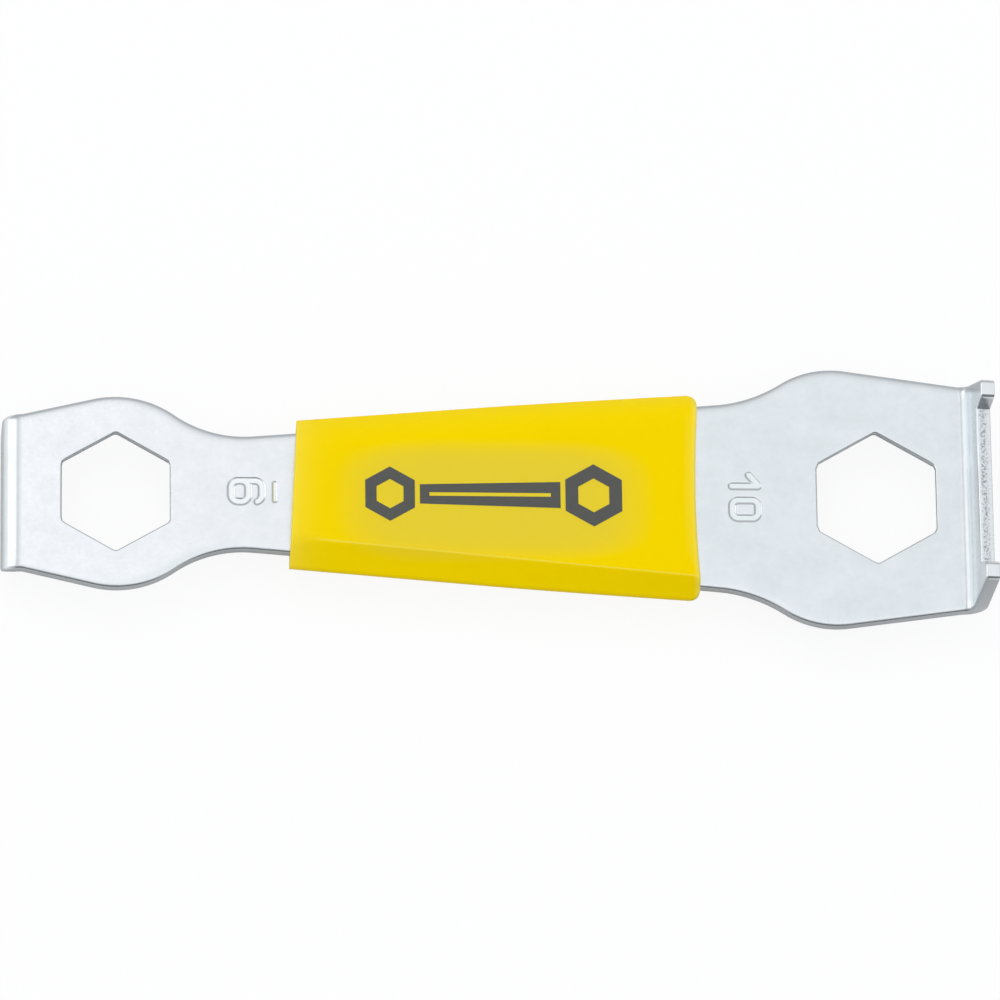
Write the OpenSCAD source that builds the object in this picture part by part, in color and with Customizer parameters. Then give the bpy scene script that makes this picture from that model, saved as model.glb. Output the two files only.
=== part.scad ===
// Chainring nut wrench: one bent sheet-steel blade with a hexagon ring in each end, in a vinyl grip sleeve.
// +X runs to the wide end, and +Z is the side that the prongs rise from.
// The origin is halfway along the wrench, on its centre line, level with the tip of the working edge.

/* [Steel sheet] */
// Thickness of the sheet
sheet_t = 1.2; // [0.8:0.1:1.8]
// Inside radius of the bend at each end
bend_r = 0.35; // [0.2:0.05:0.8]
// Length over both bent ends
overall_l = 83.2; // [80:0.2:92]
// Distance of each hexagon's centre in from its end of the wrench
hex_in = 9.6; // [9:0.1:11]
// Width of each hexagon over its nominal size
hex_fit = 0.05; // [0:0.01:0.2]

/* [Shank] */
// Width of the shank halfway along the wrench
shank_w = 13.3; // [11:0.1:14.5]
// Lean of each edge of the shank, in degrees, so that it widens towards +X
shank_lean = 4.6; // [2:0.1:5.5]

/* [Narrow end] */
// Nominal width across the flats of the small hexagon
narrow_hex = 9; // [7:0.5:10]
// Radius of the round head about the small hexagon
narrow_head_r = 8.4; // [7.8:0.1:9.2]
// Radius of the hollow curve between the round head and the shank
narrow_fillet_r = 10; // [7:0.5:13]
// Width of the sheet at the line where it bends down
narrow_end_w = 13.6; // [12:0.1:15]
// Width of the straight working edge
edge_w = 11.9; // [10:0.1:13]
// Depth of the working edge below the sheet's underside
edge_reach = 2.6; // [1.5:0.1:2.8]
// Outward lean of the bent blade, in degrees
edge_lean = 2; // [0:0.5:6]

/* [Wide end] */
// Nominal width across the flats of the large hexagon
wide_hex = 10; // [8:0.5:11]
// Greatest width of the head, over its shoulders
wide_head_w = 22.7; // [21:0.1:25]
// Radius of the shoulders
shoulder_r = 8; // [6:0.5:9]
// Distance from the large hexagon's centre back to the widest place
shoulder_back = 3.6; // [2:0.1:5]
// Radius of the hollow curve between the shank and the shoulders
wide_fillet_r = 12; // [8:0.5:14]
// Width of the sheet at the line where it bends up
wide_end_w = 19.9; // [19:0.1:21]
// Height of the prong tips above the sheet's top
prong_reach = 5.35; // [4.5:0.05:7]
// Height of the low wall between the prongs, above the sheet's top
wall_reach = 3.55; // [2:0.05:4]
// Width over the outsides of the two prong tips
prong_span = 17.3; // [16.5:0.1:18.5]
// Gap between the insides of the two prong tips
prong_gap = 14.6; // [13:0.1:15.2]
// Gap between the prongs where they stand on the low wall
prong_root_gap = 13.5; // [12:0.1:14.5]
// Outward lean of the wall and its prongs, in degrees
prong_lean = 4; // [0:0.5:8]

/* [Stamped sizes] */
// Height of a stamped digit
digit_h = 3.1; // [2:0.1:3.5]
// Width of a stamped digit
digit_w = 2.2; // [1.8:0.1:2.4]
// Width of a stamped stroke
digit_stroke = 0.5; // [0.3:0.05:0.6]
// Radius of the round corners of the 9 and the 0
digit_corner_r = 0.8; // [0.65:0.05:0.85]
// Height of the closed bowl of the 9
nine_bowl_h = 1.9; // [1.7:0.1:2.1]
// Height of the open hook of the 9, up to its round end
nine_hook_h = 0.8; // [0.7:0.1:1]
// Length of the flag of the 1
one_flag_l = 1.5; // [1:0.1:1.8]
// Width of the bar that tells the 9 from a 6
bar_w = 1.9; // [1.5:0.1:2.4]
// Gap between the 9 and its bar
bar_gap = 0.5; // [0.3:0.05:0.8]
// Gap between the 1 and the 0
digit_gap = 0.25; // [0.2:0.05:0.5]
// Depth of the stamping
digit_depth = 0.15; // [0.05:0.05:0.3]
// Distance of each number from the hexagon that it names
digit_offset = 10.9; // [9.5:0.1:11.5]

/* [Grip sleeve] */
// Length of the sleeve
sleeve_l = 34.1; // [28:0.1:35]
// Offset of the sleeve's middle from the middle of the wrench
sleeve_shift = -0.1; // [-0.5:0.1:0.5]
// Wall of the sleeve over each face of the shank
sleeve_face_wall = 1.4; // [1.2:0.1:2.4]
// Wall of the sleeve beyond each edge of the shank
sleeve_wall = 1.33; // [1:0.01:2]
// Height of the upright band at the sleeve's widest line
sleeve_band = 0.6; // [0.4:0.1:1.2]
// Inward run of each sloping side of the sleeve
sleeve_bevel = 2.05; // [0.8:0.05:2.3]
// Slant of the cut at the narrow end of the sleeve, in degrees
sleeve_slant = 3; // [0:0.5:5]
// Radius of the two corners at the wide end of the sleeve
sleeve_corner_r = 0.9; // [0.5:0.1:1.6]
// Hollow of the sleeve's wide end, at its middle
sleeve_hollow = 0.35; // [0.1:0.05:0.8]
// Clearance between the sleeve and the blade all round
grip_fit = 0.02; // [0:0.01:0.1]

/* [Hidden] */
$fn = 64;
// Overshoot of a cut past the face that it opens
past = 1;
// Straight steps in each round stretch of an outline
arc_steps = 16;

sheet_top_z = edge_reach + sheet_t;

// A bend turns through bend_turn degrees, and its leg carries on to the wanted reach
function bend_turn(lean) = 90 - lean;
function leg_length(reach, lean) =
    (reach - bend_r * (1 - cos(bend_turn(lean)))) / sin(bend_turn(lean));
// Furthest a bent end stands out past the line where it starts to bend
function bend_out(reach, lean) =
    leg_length(reach, lean) * cos(bend_turn(lean)) + (bend_r + sheet_t) * sin(bend_turn(lean));

narrow_bend_x = -overall_l / 2 + bend_out(edge_reach, edge_lean);
wide_bend_x = overall_l / 2 - bend_out(prong_reach, prong_lean);

narrow_centre = [hex_in - overall_l / 2, 0];
wide_centre = [overall_l / 2 - hex_in, 0];
shoulder_centre = [wide_centre.x - shoulder_back, wide_head_w / 2 - shoulder_r];

// Half the width of the shank at x
function shank_half(x) = shank_w / 2 + x * tan(shank_lean);
// Unit vectors along the shank's upper edge and out of it
shank_along = [cos(shank_lean), sin(shank_lean)];
shank_out = [-sin(shank_lean), cos(shank_lean)];

// Centre of a hollow curve of radius r that touches the shank's edge and a circle;
// turn is 1 to stand right of the circle and -1 to stand left of it
function fillet_centre(circle_centre, circle_r, r, turn) =
    let (start = [0, shank_half(0) + r / cos(shank_lean)],
         from_circle = start - circle_centre,
         back = shank_along * from_circle,
         room = back * back - from_circle * from_circle + pow(circle_r + r, 2))
    start + shank_along * (turn * sqrt(room) - back);

// Direction from one point to another, as an angle
function direction(from, to) = atan2(to.y - from.y, to.x - from.x);

// Angle on a circle at which a line from an outside point touches it; turn picks the side
function touch_angle(circle_centre, r, from, turn) =
    direction(circle_centre, from) + turn * acos(r / norm(from - circle_centre));

// Points along a circle, from one angle to another
function arc(circle_centre, r, from, to) =
    [for (i = [0 : arc_steps])
        let (angle = from + (to - from) * i / arc_steps)
        circle_centre + r * [cos(angle), sin(angle)]];

// All the points but the last
function all_but_last(points) = [for (i = [0 : len(points) - 2]) points[i]];
// Two stretches of an outline, where the second starts at the end of the first
function joined(first, second) = concat(all_but_last(first), second);
// The line from a to b, carried on to x
function carry_on(a, b, x) = [x, a.y + (b.y - a.y) * (x - a.x) / (b.x - a.x)];

narrow_fillet = fillet_centre(narrow_centre, narrow_head_r, narrow_fillet_r, 1);
wide_fillet = fillet_centre(shoulder_centre, shoulder_r, wide_fillet_r, -1);
narrow_bend = [narrow_bend_x, narrow_end_w / 2];
wide_bend = [wide_bend_x, wide_end_w / 2];

// Round head and hollow curve down to the shank, then hollow curve up from it and round shoulder
narrow_curves = joined(
    arc(narrow_centre, narrow_head_r,
        touch_angle(narrow_centre, narrow_head_r, narrow_bend, -1), direction(narrow_centre, narrow_fillet)),
    arc(narrow_fillet, narrow_fillet_r, direction(narrow_fillet, narrow_centre), shank_lean - 90));
wide_curves = joined(
    arc(wide_fillet, wide_fillet_r, shank_lean - 90, direction(wide_fillet, shoulder_centre)),
    arc(shoulder_centre, shoulder_r,
        direction(shoulder_centre, wide_fillet), touch_angle(shoulder_centre, shoulder_r, wide_bend, 1)));

// The upper half of the plan, from past the narrow end to past the wide end
upper_edge = concat(
    [carry_on(narrow_curves[0], narrow_bend, -overall_l / 2 - past)],
    narrow_curves,
    wide_curves,
    [carry_on(wide_curves[len(wide_curves) - 1], wide_bend, overall_l / 2 + past)]);

// The same points in both halves, as one closed outline
function both_halves(upper) =
    concat(upper, [for (i = [len(upper) - 1 : -1 : 0]) [upper[i].x, -upper[i].y]]);

// Side view of one bent end: x runs outwards from the bend line, y to the inside of the bend
module bent_end(reach, lean) {
    turn = bend_turn(lean);
    outer_r = bend_r + sheet_t;
    wedge = 2 * outer_r;
    translate([0, bend_r]) {
        intersection() {
            difference() {
                circle(outer_r);
                circle(bend_r);
            }
            polygon([[0, 0], [0, -wedge], [wedge, -wedge], [wedge, -wedge / tan(turn)]]);
        }
        rotate(turn) translate([0, -outer_r]) square([leg_length(reach, lean), sheet_t]);
    }
}

// The bent strip, wider than the blade all along, with the sheet's top at z = 0
module bent_strip() {
    strip_w = wide_head_w + 2 * past;
    rotate([90, 0, 0]) linear_extrude(strip_w, center = true) {
        translate([narrow_bend_x, -sheet_t]) square([wide_bend_x - narrow_bend_x, sheet_t]);
        translate([narrow_bend_x, -sheet_t]) rotate(180) bent_end(edge_reach, edge_lean);
        translate([wide_bend_x, 0]) bent_end(prong_reach, prong_lean);
    }
}

// A cut along X through a bent end, from the bend line outwards; children are drawn as [y, z]
module end_cut(bend_x) {
    along = (bend_x < 0 ? -1 : 0) * overall_l;
    translate([bend_x + along, 0, 0]) rotate([90, 0, 90]) linear_extrude(overall_l) children();
}

// What lies outside a line that leans from [y, z] a to b, on both sides
module outside_of(a, b) {
    far = a + (b - a) * (1 + past / norm(b - a));
    for (side = [0, 1]) mirror([side, 0])
        polygon([a, far, [wide_head_w, far.y], [wide_head_w, a.y]]);
}

// The gap between the prongs, open at the top
module prong_gap_shape() {
    root = [prong_root_gap / 2, wall_reach];
    tip = [prong_gap / 2, prong_reach];
    far = root + (tip - root) * (1 + past / norm(tip - root));
    polygon([root, far, [-far.x, far.y], [-root.x, root.y]]);
}

module hexagon(across_flats) {
    rotate(30) circle(across_flats / sqrt(3), $fn = 6);
}

// A rectangle about the origin with round corners
module rounded_box(width, height, r) {
    square([width - 2 * r, height], center = true);
    square([width, height - 2 * r], center = true);
    for (x = [-1, 1], y = [-1, 1])
        translate([x * (width / 2 - r), y * (height / 2 - r)]) circle(r);
}

// A round-cornered loop of one stroke
module stroke_loop(width, height) {
    inset = 2 * digit_stroke;
    difference() {
        rounded_box(width, height, digit_corner_r);
        rounded_box(width - inset, height - inset, digit_corner_r - digit_stroke);
    }
}

module digit_zero() {
    stroke_loop(digit_w, digit_h);
}

// A stem with a flag that slopes down from its top
module digit_one() {
    translate([digit_w / 4, 0]) {
        square([digit_stroke, digit_h], center = true);
        translate([digit_stroke / 2, digit_h / 2]) rotate(225) square([one_flag_l, digit_stroke]);
    }
}

// A closed bowl on top of an open loop whose left side stops short in a round end
module digit_nine() {
    hook_y = nine_hook_h - digit_h / 2;
    translate([0, (digit_h - nine_bowl_h) / 2]) stroke_loop(digit_w, nine_bowl_h);
    difference() {
        stroke_loop(digit_w, digit_h);
        translate([-digit_w, hook_y]) square([digit_w, digit_h - nine_hook_h]);
    }
    translate([(digit_stroke - digit_w) / 2, hook_y]) circle(digit_stroke / 2);
}

// The bar under the 9
module digit_bar() {
    translate([-bar_w / 2, -digit_h / 2 - bar_gap - digit_stroke]) square([bar_w, digit_stroke]);
}

// Both size numbers, each with its top towards its own end of the wrench
module size_numbers() {
    digit_pitch = digit_w + digit_gap;
    translate([narrow_centre.x + digit_offset, 0]) rotate(90) {
        digit_nine();
        digit_bar();
    }
    translate([wide_centre.x - digit_offset, 0]) rotate(-90) {
        translate([-digit_pitch / 2, 0]) digit_one();
        translate([digit_pitch / 2, 0]) digit_zero();
    }
}

// The blade: punched from one sheet, stamped with its sizes and bent at both ends
module steel_blade() {
    strip_h = prong_reach + sheet_t + edge_reach + 2 * past;
    narrow_root = [narrow_end_w / 2, -sheet_t];
    narrow_tip = [edge_w / 2, -sheet_t - edge_reach];
    wide_root = [wide_end_w / 2, 0];
    wide_tip = [prong_span / 2, prong_reach];
    color("#dde3e9") translate([0, 0, sheet_top_z]) difference() {
        intersection() {
            bent_strip();
            translate([0, 0, -sheet_t - edge_reach - past]) linear_extrude(strip_h)
                polygon(both_halves(upper_edge));
        }
        end_cut(narrow_bend_x) outside_of(narrow_root, narrow_tip);
        end_cut(wide_bend_x) outside_of(wide_root, wide_tip);
        end_cut(wide_bend_x) prong_gap_shape();
        translate([0, 0, -sheet_t - past]) linear_extrude(sheet_t + 2 * past) {
            translate(narrow_centre) hexagon(narrow_hex + hex_fit);
            translate(wide_centre) hexagon(wide_hex + hex_fit);
        }
        translate([0, 0, -digit_depth]) linear_extrude(digit_depth + past) size_numbers();
    }
}

// Half the width of the sleeve at x
function sleeve_half(x) = shank_half(x) + sleeve_wall;
sleeve_t = sheet_t + 2 * sleeve_face_wall;
sleeve_narrow_x = sleeve_shift - sleeve_l / 2;
sleeve_wide_x = sleeve_shift + sleeve_l / 2;

// Round corner at the sleeve's wide end, then the shallow hollow to the centre line
sleeve_corner_x = sleeve_wide_x - sleeve_corner_r;
sleeve_corner = [sleeve_corner_x, sleeve_half(sleeve_corner_x) - sleeve_corner_r / cos(shank_lean)];
sleeve_hollow_r = (pow(sleeve_corner.y, 2) + pow(sleeve_hollow, 2)) / (2 * sleeve_hollow);
sleeve_hollow_centre = [sleeve_wide_x - sleeve_hollow + sleeve_hollow_r, 0];
sleeve_wide_curves = joined(
    arc(sleeve_corner, sleeve_corner_r, 90 + shank_lean, 0),
    arc(sleeve_hollow_centre, sleeve_hollow_r, 180 - asin(sleeve_corner.y / sleeve_hollow_r), 180));

// The sleeve, seen from above: slanted cut at the narrow end, round corners and a hollow at the wide end
module sleeve_plan() {
    start_x = sleeve_narrow_x - sleeve_wall;
    difference() {
        polygon(both_halves(concat([[start_x, sleeve_half(start_x)]], all_but_last(sleeve_wide_curves))));
        translate([sleeve_narrow_x, 0]) rotate(-sleeve_slant)
            translate([-sleeve_l, -sleeve_l / 2]) square(sleeve_l);
    }
}

// What the sloping sides take off one upper edge of the sleeve
module sleeve_bevel_cut() {
    half_t = sleeve_t / 2;
    half_band = sleeve_band / 2;
    slope = [-sleeve_bevel, half_t - half_band];
    translate([0, sleeve_half(0), 0]) rotate([0, 0, shank_lean]) rotate([90, 0, 90])
        linear_extrude(2 * sleeve_l, center = true)
            polygon([[0, half_band], [0, half_band] + 2 * slope,
                     [sleeve_wall, half_band + 2 * slope.y], [sleeve_wall, half_band]]);
}

// The sleeve: a flat-topped vinyl tube with sloping sides, hollow to the shape of the blade
module grip_sleeve() {
    color("#f5d600") translate([0, 0, sheet_top_z - sheet_t / 2]) difference() {
        linear_extrude(sleeve_t, center = true) sleeve_plan();
        for (side = [0, 1], face = [0, 1]) mirror([0, side, 0]) mirror([0, 0, face]) sleeve_bevel_cut();
        linear_extrude(sheet_t + 2 * grip_fit, center = true)
            polygon(both_halves([for (p = upper_edge) p + [0, grip_fit]]));
    }
}

steel_blade();
grip_sleeve();
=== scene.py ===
# %% [markdown]
# # A chainring nut wrench and its finishes
# The real tool is one steel blade, punched from sheet, stamped with its sizes and bent at both ends,
# inside a sleeve of soft yellow vinyl. The solids already have the right shapes and places, so this file
# gives each piece what a press, a plating bath and a dipping mould leave on it.
# Sizes are in millimetres while a shape is worked out, and in metres once it is a mesh.

# %% Load the solids
import math

import bmesh
import bpy
import numpy as np
from mathutils import Matrix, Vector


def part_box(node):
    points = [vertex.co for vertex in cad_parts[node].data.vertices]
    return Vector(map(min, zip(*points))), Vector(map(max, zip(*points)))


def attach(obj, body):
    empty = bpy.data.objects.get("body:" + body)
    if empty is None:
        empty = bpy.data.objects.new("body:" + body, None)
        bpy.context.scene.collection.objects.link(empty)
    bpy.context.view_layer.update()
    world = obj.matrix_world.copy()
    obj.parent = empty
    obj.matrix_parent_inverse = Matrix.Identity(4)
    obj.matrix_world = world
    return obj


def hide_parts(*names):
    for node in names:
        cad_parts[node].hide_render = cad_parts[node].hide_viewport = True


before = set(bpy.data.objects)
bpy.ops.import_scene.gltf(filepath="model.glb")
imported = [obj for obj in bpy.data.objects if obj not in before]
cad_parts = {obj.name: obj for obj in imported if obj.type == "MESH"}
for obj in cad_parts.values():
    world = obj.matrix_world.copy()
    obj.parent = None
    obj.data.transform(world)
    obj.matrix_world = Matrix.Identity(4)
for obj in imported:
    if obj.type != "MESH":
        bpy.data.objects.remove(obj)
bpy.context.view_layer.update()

MM = 0.001
blade_low, blade_high = (np.array(corner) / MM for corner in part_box("steel_blade"))
sleeve_low, sleeve_high = (np.array(corner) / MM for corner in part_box("grip_sleeve"))
print("solids:", sorted(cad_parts), "blade length", round(blade_high[0] - blade_low[0], 2), "mm")

# %% [markdown]
# ## One mesh from several grids
# Every piece below is made of grids of points. A grid can close on itself along its columns, as a tube
# does, and along its rows too, as a ring does. Points of neighbouring grids that fall in one place are then
# welded, so that the grids become one closed skin. Blender's Merge by Distance could weld them, but it
# doesn't say which point each one was, and the finishes need to know. So the coordinates are rounded, and
# numpy picks the distinct ones.


# %% Grids to a mesh
def grid_faces(rows, columns, close_columns, close_rows):
    """Corner numbers of the four-sided faces of a grid whose points are counted along its rows."""
    number = np.arange(rows * columns).reshape(rows, columns)
    if close_columns:
        number = np.hstack([number, number[:, :1]])
    if close_rows:
        number = np.vstack([number, number[:1]])
    corners = [number[:-1, :-1], number[1:, :-1], number[1:, 1:], number[:-1, 1:]]
    return np.stack(corners, axis=-1).reshape(-1, 4)


def weld(points, faces, step=1e-4):
    """Gives points that round to one multiple of step one number, and says which point each one was."""
    keys = np.round(points / step).astype(np.int64)
    _, first, which = np.unique(keys, axis=0, return_index=True, return_inverse=True)
    return points[first], which.reshape(-1)[faces], first


def skin(name, grids, sharp_angle, close_rows=False, marks=None):
    """A closed piece from (points, close_columns) grids in millimetres.
    Marks are named values, one for each point of the grids, that a finish can read."""
    points = np.concatenate([grid.reshape(-1, 3) for grid, _ in grids])
    starts = np.cumsum([0] + [grid.shape[0] * grid.shape[1] for grid, _ in grids])
    faces = np.concatenate([
        start + grid_faces(*grid.shape[:2], close, close_rows)
        for start, (grid, close) in zip(starts, grids)
    ])
    points, faces, first = weld(points, faces)
    mesh = bpy.data.meshes.new(name)
    mesh.from_pydata((points * MM).tolist(), [], faces.tolist())
    for mark, values in (marks or {}).items():
        layer = mesh.attributes.new(mark, "FLOAT", "POINT")
        layer.data.foreach_set("value", values[first].astype(np.float32))
    edit = bmesh.new()
    edit.from_mesh(mesh)
    bmesh.ops.recalc_face_normals(edit, faces=edit.faces)
    open_edges = sum(len(edge.link_faces) != 2 for edge in edit.edges)
    edit.to_mesh(mesh)
    edit.free()
    mesh.polygons.foreach_set("use_smooth", np.ones(len(mesh.polygons), dtype=bool))
    mesh.set_sharp_from_angle(angle=math.radians(sharp_angle))
    piece = bpy.data.objects.new(name, mesh)
    bpy.context.scene.collection.objects.link(piece)
    print(name, "points", len(points), "faces", len(faces), "open edges", open_edges)
    return piece


# %% [markdown]
# ## The blade as a flat blank
# A press makes the blade in two strokes: it punches a flat blank, then bends the ends. The mesh is made the
# same way. All outlines are drawn on the flat blank, where u runs along it and y across it, and one
# function folds any point of the blank into place. Cutting the bent shape out of blocks would also work,
# but a fold keeps the rolled edges and the thickness true all the way round both bends.

# %% Sheet and bends
sheet_t = 1.2
narrow_r = 0.5
wide_r = 0.8
edge_reach = 2.6
prong_reach = 5.35
narrow_turn = math.radians(88)
wide_turn = math.radians(83.5)
top_z = blade_low[2] + edge_reach + sheet_t


def leg_length(reach, turn, r):
    """Straight length after a bend of inner radius r whose inner face stands out by reach."""
    return (reach - r * (1 - math.cos(turn))) / math.sin(turn)


def stand_out(leg, turn, r):
    """How far a bent end stands out past its bend line."""
    return leg * math.cos(turn) + (r + sheet_t) * math.sin(turn)


narrow_leg = leg_length(edge_reach, narrow_turn, narrow_r)
wide_leg = leg_length(prong_reach, wide_turn, wide_r)
narrow_bend = blade_low[0] + stand_out(narrow_leg, narrow_turn, narrow_r)
wide_bend = blade_high[0] - stand_out(wide_leg, wide_turn, wide_r)
narrow_tip = narrow_bend - (narrow_r + sheet_t / 2) * narrow_turn - narrow_leg
wide_tip = wide_bend + (wide_r + sheet_t / 2) * wide_turn + wide_leg


def turn_and_run(past, full_turn, r):
    """Angle turned at a distance past a bend line, and the straight run after the bend.
    The middle of the sheet keeps its length, so distances are measured there."""
    middle_r = r + sheet_t / 2
    turn = np.minimum(np.maximum(past, 0) / middle_r, full_turn)
    return turn, np.maximum(past, 0) - middle_r * turn


def fold(blank, depth):
    """Folds points [u, y] that lie depth below the blank's top face.
    A bend carries a point round its axis: sine of the angle turned outwards, one less cosine up or down."""
    u, y = blank[..., 0], blank[..., 1]
    wide, wide_run = turn_and_run(u - wide_bend, wide_turn, wide_r)
    narrow, narrow_run = turn_and_run(narrow_bend - u, narrow_turn, narrow_r)
    up_r = wide_r + depth
    down_r = narrow_r + sheet_t - depth
    x = np.clip(u, narrow_bend, wide_bend)
    x = x + up_r * np.sin(wide) + wide_run * np.cos(wide)
    x = x - down_r * np.sin(narrow) - narrow_run * np.cos(narrow)
    z = top_z - depth + up_r * (1 - np.cos(wide)) + wide_run * np.sin(wide)
    z = z - down_r * (1 - np.cos(narrow)) - narrow_run * np.sin(narrow)
    return np.stack(np.broadcast_arrays(x, y, z), axis=-1)


print("blank", round(wide_tip - narrow_tip, 2), "mm long, bent at", np.round([narrow_bend, wide_bend], 2))

# %% [markdown]
# ## The outline
# Seen from above, each long edge is a chain of straight lines and arcs that touch: a taper, the round head,
# a hollow curve into the shank, the leaning shank, a second hollow curve, a shoulder and a last taper. A
# Bezier curve drawn by hand could follow them, but its stretches would only nearly touch. No stretch turns
# back on itself, so the whole edge is one function, the half width at u.

# %% Arcs of the outline
hex_in = 9.6
narrow_hex = np.array([blade_low[0] + hex_in, 0])
wide_hex = np.array([blade_high[0] - hex_in, 0])
shank_half = 6.65
shank_lean = math.radians(4.6)
head_r = 8.4
head_hollow_r = 10
shoulder_r = 8
shoulder_hollow_r = 12
shoulder_back = 3.6
shoulder = np.array([wide_hex[0] - shoulder_back, blade_high[1] - shoulder_r])
narrow_end_half = 6.8
wide_end_half = 9.95
narrow_end = np.array([narrow_bend, narrow_end_half])
wide_end = np.array([wide_bend, wide_end_half])


def hollow_centre(round_centre, reach, hollow_r, side):
    """Centre of a hollow curve: hollow_r off the shank's edge and reach from the round's centre."""
    along = np.array([math.cos(shank_lean), math.sin(shank_lean)])
    start = np.array([0, shank_half + hollow_r / math.cos(shank_lean)])
    away = start - round_centre
    back = along @ away
    return start + along * (side * math.sqrt(back**2 - away @ away + reach**2) - back)


def touch_point(centre, r, end, side):
    """Point where the straight line from end touches a circle."""
    away = end - centre
    angle = math.atan2(away[1], away[0]) + side * math.acos(r / np.hypot(*away))
    return centre + r * np.array([math.cos(angle), math.sin(angle)])


head_hollow = hollow_centre(narrow_hex, head_r + head_hollow_r, head_hollow_r, 1)
shoulder_hollow = hollow_centre(shoulder, shoulder_r + shoulder_hollow_r, shoulder_hollow_r, -1)
head_touch = touch_point(narrow_hex, head_r, narrow_end, -1)
shoulder_touch = touch_point(shoulder, shoulder_r, wide_end, 1)
head_share = head_r / (head_r + head_hollow_r)
shoulder_share = shoulder_r / (shoulder_r + shoulder_hollow_r)
joins = [
    head_touch[0],
    narrow_hex[0] + head_share * (head_hollow - narrow_hex)[0],
    head_hollow[0] + head_hollow_r * math.sin(shank_lean),
    shoulder_hollow[0] + shoulder_hollow_r * math.sin(shank_lean),
    shoulder[0] + shoulder_share * (shoulder_hollow - shoulder)[0],
    shoulder_touch[0],
]
print("outline joins at x =", np.round(joins, 2))

# %% Half width of the blank
edge_half = 5.95
prong_out = 8.75
tip_r = 0.3
neck_x = -21.4


def line(x, a, b):
    """Height at x of the straight line through a and b."""
    return a[1] + (b[1] - a[1]) * (x - a[0]) / (b[0] - a[0])


def arc(x, centre, r, side):
    """Height at x of a circle's upper side, or its lower side if side is -1: the root of the radius
    squared less the distance along squared."""
    return centre[1] + side * np.sqrt(np.maximum(r**2 - (x - centre[0]) ** 2, 0))


def rise(past, full_turn, reach, r):
    """Share of its reach that a bent end's inner face has gained at a distance past the bend line."""
    turn, run = turn_and_run(past, full_turn, r)
    return (r * (1 - np.cos(turn)) + run * np.sin(turn)) / reach


def corner_cut(gap):
    """What a round corner takes off an edge that ends gap further on: its radius less a circle's height."""
    short = np.clip(tip_r - gap, 0, tip_r)
    return tip_r - np.sqrt(tip_r**2 - short**2)


def half_width(u):
    """Half the blank's width at u: seven stretches that touch, then the tapers of the bent ends."""
    x = np.clip(u, narrow_bend, wide_bend)
    stretches = [
        line(x, narrow_end, head_touch),
        arc(x, narrow_hex, head_r, 1),
        arc(x, head_hollow, head_hollow_r, -1),
        shank_half + x * math.tan(shank_lean),
        arc(x, shoulder_hollow, shoulder_hollow_r, -1),
        arc(x, shoulder, shoulder_r, 1),
    ]
    y = np.select([x < join for join in joins], stretches, line(x, shoulder_touch, wide_end))
    y = y - (narrow_end_half - edge_half) * rise(narrow_bend - u, narrow_turn, edge_reach, narrow_r)
    y = y - (wide_end_half - prong_out) * rise(u - wide_bend, wide_turn, prong_reach, wide_r)
    return y - corner_cut(u - narrow_tip) - corner_cut(wide_tip - u)


print("half width at the neck", round(float(half_width(np.array([neck_x]))[0]), 2), "mm")

# %% [markdown]
# ## Stations along the blank
# The mesh has one row of points at each station. Even spacing would be simpler, but rows have to lie close
# where something small happens, such as a bend, a round corner or a stamped number, and on the plain shank
# they would be wasted. The ends of each part of the blank are kept by their row numbers, because the
# hexagons, the shank and the prongs are separate grids.

# %% Rows of the blank
roll_wide = 0.9
tip_ease = 0.3
wall_reach = 3.55
ring_narrow = 6.4
ring_wide = 7.0
nine_zone = (-23.3, -18.2)
ten_zone = (19.0, 22.8)
prong_foot = 0.15
wall_u = wide_tip - wide_leg + leg_length(wall_reach, wide_turn, wide_r)
wall_roll_u = wall_u - tip_ease * roll_wide


def rows_between(*stretches):
    """Stations along (start, end, count) stretches that follow on from each other, without the last end."""
    return np.concatenate([np.linspace(a, b, n, endpoint=False) for a, b, n in stretches])


tip_gaps = tip_r * (1 - np.cos(np.linspace(0, math.pi / 2, 7)))
end_rows = np.concatenate([
    narrow_tip + tip_gaps[:-1],
    rows_between(
        (narrow_tip + tip_r, narrow_tip + narrow_leg, 5),
        (narrow_tip + narrow_leg, narrow_bend, 14),
        (narrow_bend, narrow_hex[0] - ring_narrow, 5),
    ),
])
small_ring_rows = rows_between((narrow_hex[0] - ring_narrow, narrow_hex[0] + ring_narrow, 56))
shank_rows = rows_between(
    (narrow_hex[0] + ring_narrow, nine_zone[0], 9),
    (nine_zone[0], nine_zone[1], 102),
    (nine_zone[1], ten_zone[0], 30),
    (ten_zone[0], ten_zone[1], 76),
    (ten_zone[1], wide_hex[0] - ring_wide, 9),
)
large_ring_rows = rows_between((wide_hex[0] - ring_wide, wide_hex[0] + ring_wide, 60))
wall_rows = rows_between(
    (wide_hex[0] + ring_wide, wide_bend, 4),
    (wide_bend, wide_tip - wide_leg, 14),
    (wide_tip - wide_leg, wall_roll_u, 6),
)
prong_rows = np.concatenate([
    [wall_roll_u],
    np.linspace(wall_u + prong_foot, wide_tip - tip_r, 6),
    wide_tip - tip_gaps[-2::-1],
])
parts = [end_rows, small_ring_rows, shank_rows, large_ring_rows, wall_rows, prong_rows]
u_rows = np.concatenate(parts)
part_start = np.cumsum([0] + [len(part) for part in parts])
print("rows in each part of the blank:", [len(part) for part in parts])

# %% [markdown]
# ## The loop round the blank
# The sheared edge runs round the blank as one closed loop: along the upper edge, over a prong, down into
# the gap, along the low wall and back by the mirror image. Blender's Inset tool could draw it in, but numpy
# needs only a normal at each point. At a corner the normal is lengthened, as in a mitre joint, so that the
# offset edges stay straight. Towards both tips the normals are shortened, which makes the roll narrower.

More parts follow.
